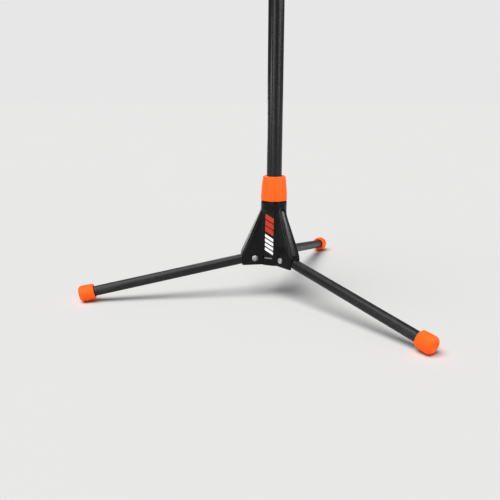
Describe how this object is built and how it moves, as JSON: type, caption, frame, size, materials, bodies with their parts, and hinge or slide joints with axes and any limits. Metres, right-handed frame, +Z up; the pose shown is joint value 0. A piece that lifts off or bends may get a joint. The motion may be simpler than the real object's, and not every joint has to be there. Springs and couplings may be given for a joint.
{
  "type": "batting tee",
  "caption": "Folding tripod batting tee: moulded hub on hinged tube legs with capped feet, twist-lock collars, telescoping pole and a flared rubber cup that holds the ball.",
  "frame": {"origin": "middle of the footprint bounding box, on the floor plane the three feet stand on; the pole stands 88 mm in front of it, towards -Y", "axes": "+Z up along the pole, +Y towards the single rear leg, +X to the right seen from the front"},
  "size_m": [0.657, 0.5721, 0.7],
  "materials": {
    "black_paint": "satin black powder coat",
    "black_plastic": "matte moulded",
    "orange_plastic": "satin moulded",
    "orange_rubber": "matte",
    "black_rubber": "matte",
    "zinc_steel": "zinc plated"
  },
  "bodies": {
    "base": {"hub_shell": "black_plastic", "lower_pole": "black_paint", "pole_end_plug": "black_plastic", "pole_collet": "black_plastic", "height_collet": "black_plastic", "height_ferrule": "black_plastic", "pivot_bolt_1": "zinc_steel", "pivot_bolt_2": "zinc_steel", "pivot_bolt_3": "zinc_steel", "lock_nut_1": "zinc_steel", "lock_nut_2": "zinc_steel", "lock_nut_3": "zinc_steel", "pivot_sleeve_1": "zinc_steel", "pivot_sleeve_2": "zinc_steel", "pivot_sleeve_3": "zinc_steel"},
    "pole_lock_collar": {"pole_lock_collar": "orange_plastic"},
    "height_lock_collar": {"height_lock_collar": "orange_plastic"},
    "upper": {"upper_pole": "black_paint", "guide_bush": "black_plastic", "cup_plug": "black_plastic", "ball_cup": "black_rubber"},
    "leg_1": {"leg_tube_1": "black_paint", "leg_pivot_plug_1": "black_plastic", "foot_cap_1": "orange_rubber"},
    "leg_2": {"leg_tube_2": "black_paint", "leg_pivot_plug_2": "black_plastic", "foot_cap_2": "orange_rubber"},
    "leg_3": {"leg_tube_3": "black_paint", "leg_pivot_plug_3": "black_plastic", "foot_cap_3": "orange_rubber"}
  },
  "joints": [
    {"name": "leg_fold_1", "type": "hinge", "parent": "base", "child": "leg_1", "pos_m": [0.03377, -0.108, 0.07693], "axis": [0.5, 0.866, 0], "range_deg": [0, 79.35]},
    {"name": "leg_fold_2", "type": "hinge", "parent": "base", "child": "leg_2", "pos_m": [-0.03377, -0.108, 0.07693], "axis": [0.5, -0.866, 0], "range_deg": [0, 79.35]},
    {"name": "leg_fold_3", "type": "hinge", "parent": "base", "child": "leg_3", "pos_m": [0, -0.0495, 0.07693], "axis": [-1, 0, 0], "range_deg": [0, 79.35]},
    {"name": "pole_collar_twist", "type": "hinge", "parent": "base", "child": "pole_lock_collar", "pos_m": [0, -0.0885, 0.20993], "axis": [0, 0, 1], "range_deg": [0, 120]},
    {"name": "height_collar_twist", "type": "hinge", "parent": "base", "child": "height_lock_collar", "pos_m": [0, -0.0885, 0.6], "axis": [0, 0, 1], "range_deg": [0, 120]},
    {"name": "height_slide", "type": "slide", "parent": "base", "child": "upper", "axis": [0, 0, 1], "range_m": [0, 0.38]}
  ]
}
